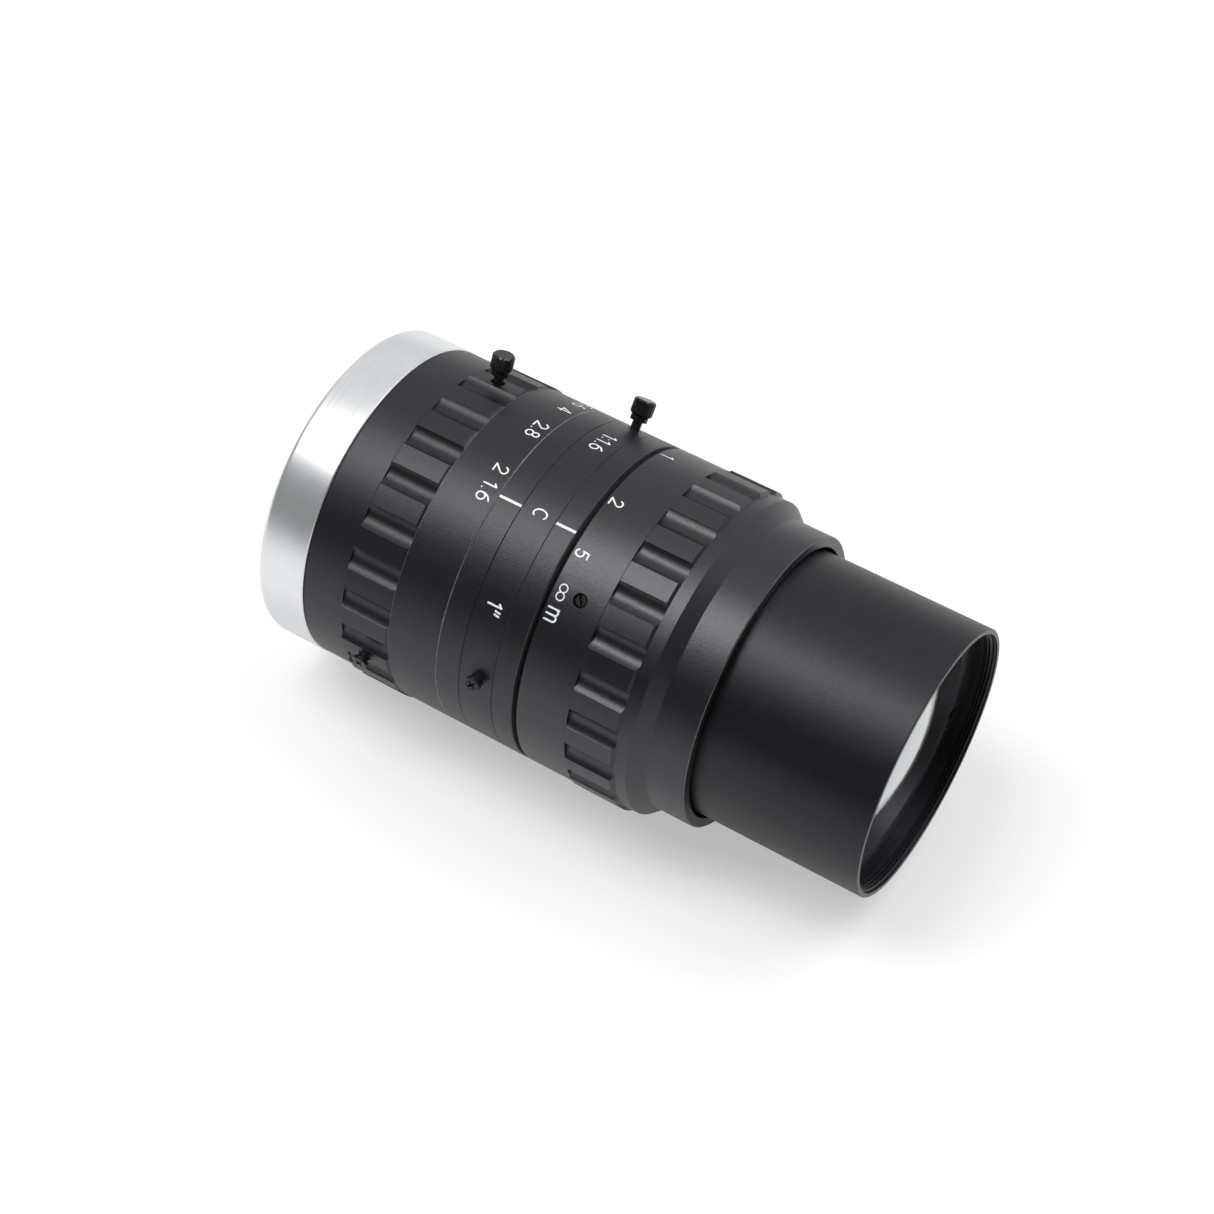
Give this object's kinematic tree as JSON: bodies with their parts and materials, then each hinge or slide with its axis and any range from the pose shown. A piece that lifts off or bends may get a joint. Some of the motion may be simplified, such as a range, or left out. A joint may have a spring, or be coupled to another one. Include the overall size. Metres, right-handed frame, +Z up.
{
  "type": "machine vision lens",
  "caption": "Fixed focal length lens for an industrial camera, with screw mount, focus and aperture rings, their lock screws and an iris",
  "frame": {"origin": "centre of the mount's flange face, on the optical axis", "axes": "+X along the optical axis, out of the front glass; +Z up, as the lens lies on its side"},
  "size_m": [0.1029, 0.0529, 0.054],
  "materials": {
    "black_anodised": "satin black anodised",
    "silver_mount": "satin, clear anodised",
    "matt_black_inside": "matt black anodised",
    "screw_steel": "black nickel plated",
    "lock_screw_black": "black oxide",
    "brass": "fine turned",
    "blade_steel": "matt black coated",
    "optical_glass": "polished, coated"
  },
  "bodies": {
    "barrel": {"mount_base": "silver_mount", "inner_barrel": "matt_black_inside", "index_barrel": "black_anodised", "index_screws": "screw_steel", "guide_key": "brass", "helicoid_stop": "brass", "rear_cell": "matt_black_inside", "rear_retainer": "matt_black_inside", "rear_lens": "optical_glass", "rear_spacer": "matt_black_inside", "fifth_lens": "optical_glass", "fourth_lens": "optical_glass", "fourth_lens_retainer": "matt_black_inside", "iris_plate": "matt_black_inside", "iris_retainer": "matt_black_inside"},
    "aperture_ring": {"aperture_ring": "black_anodised", "aperture_screws": "screw_steel", "iris_cam_ring": "brass", "iris_drive_pin": "screw_steel"},
    "aperture_lock": {"aperture_lock_screw": "lock_screw_black"},
    "focus_ring": {"focus_ring": "black_anodised", "focus_set_screws": "screw_steel", "helicoid_nut": "matt_black_inside"},
    "focus_lock": {"focus_lock_screw": "lock_screw_black"},
    "front_group": {"front_barrel": "black_anodised", "lens_cell": "matt_black_inside", "third_lens": "optical_glass", "second_spacer": "matt_black_inside", "second_lens": "optical_glass", "front_spacer": "matt_black_inside", "front_lens": "optical_glass", "front_retainer": "black_anodised"},
    "blade_1": {"iris_blade_1": "blade_steel"},
    "blade_2": {"iris_blade_2": "blade_steel"},
    "blade_3": {"iris_blade_3": "blade_steel"},
    "blade_4": {"iris_blade_4": "blade_steel"},
    "blade_5": {"iris_blade_5": "blade_steel"},
    "blade_6": {"iris_blade_6": "blade_steel"},
    "blade_7": {"iris_blade_7": "blade_steel"},
    "blade_8": {"iris_blade_8": "blade_steel"}
  },
  "joints": [
    {"name": "aperture_turn", "type": "hinge", "parent": "barrel", "child": "aperture_ring", "pos_m": [0, 0, 0], "axis": [1, 0, 0], "range_deg": [0, 85]},
    {"name": "aperture_lock_turn", "type": "hinge", "parent": "aperture_ring", "child": "aperture_lock", "pos_m": [0.0193, 0.01092, 0.02315], "axis": [0, 0.4266, 0.9045], "range_deg": [-45, 360]},
    {"name": "focus_turn", "type": "hinge", "parent": "barrel", "child": "focus_ring", "pos_m": [0, 0, 0], "axis": [1, 0, 0], "range_deg": [-19.6, 104]},
    {"name": "focus_lock_turn", "type": "hinge", "parent": "barrel", "child": "focus_lock", "pos_m": [0.03906, 0.01706, 0.01882], "axis": [0, 0.6717, 0.7408], "range_deg": [-45, 360]},
    {"name": "front_slide", "type": "slide", "parent": "barrel", "child": "front_group", "axis": [1, 0, 0], "range_m": [-0.0007, 0.00383]},
    {"name": "blade_1_turn", "type": "hinge", "parent": "barrel", "child": "blade_1", "pos_m": [0.0241, 0.017, 0], "axis": [1, 0, 0], "range_deg": [0, 31]},
    {"name": "blade_2_turn", "type": "hinge", "parent": "barrel", "child": "blade_2", "pos_m": [0.0241, 0.01202, 0.01202], "axis": [1, 0, 0], "range_deg": [0, 31]},
    {"name": "blade_3_turn", "type": "hinge", "parent": "barrel", "child": "blade_3", "pos_m": [0.0241, 0, 0.017], "axis": [1, 0, 0], "range_deg": [0, 31]},
    {"name": "blade_4_turn", "type": "hinge", "parent": "barrel", "child": "blade_4", "pos_m": [0.0241, -0.01202, 0.01202], "axis": [1, 0, 0], "range_deg": [0, 31]},
    {"name": "blade_5_turn", "type": "hinge", "parent": "barrel", "child": "blade_5", "pos_m": [0.0241, -0.017, 0], "axis": [1, 0, 0], "range_deg": [0, 31]},
    {"name": "blade_6_turn", "type": "hinge", "parent": "barrel", "child": "blade_6", "pos_m": [0.0241, -0.01202, -0.01202], "axis": [1, 0, 0], "range_deg": [0, 31]},
    {"name": "blade_7_turn", "type": "hinge", "parent": "barrel", "child": "blade_7", "pos_m": [0.0241, 0, -0.017], "axis": [1, 0, 0], "range_deg": [0, 31]},
    {"name": "blade_8_turn", "type": "hinge", "parent": "barrel", "child": "blade_8", "pos_m": [0.0241, 0.01202, -0.01202], "axis": [1, 0, 0], "range_deg": [0, 31]}
  ],
  "couplings": [
    {"joint": "focus_turn", "follows": "front_slide", "rad_per_m": 468.89},
    {"joint": "blade_1_turn", "follows": "aperture_turn", "ratio": 0.36471},
    {"joint": "blade_2_turn", "follows": "aperture_turn", "ratio": 0.36471},
    {"joint": "blade_3_turn", "follows": "aperture_turn", "ratio": 0.36471},
    {"joint": "blade_4_turn", "follows": "aperture_turn", "ratio": 0.36471},
    {"joint": "blade_5_turn", "follows": "aperture_turn", "ratio": 0.36471},
    {"joint": "blade_6_turn", "follows": "aperture_turn", "ratio": 0.36471},
    {"joint": "blade_7_turn", "follows": "aperture_turn", "ratio": 0.36471},
    {"joint": "blade_8_turn", "follows": "aperture_turn", "ratio": 0.36471}
  ]
}
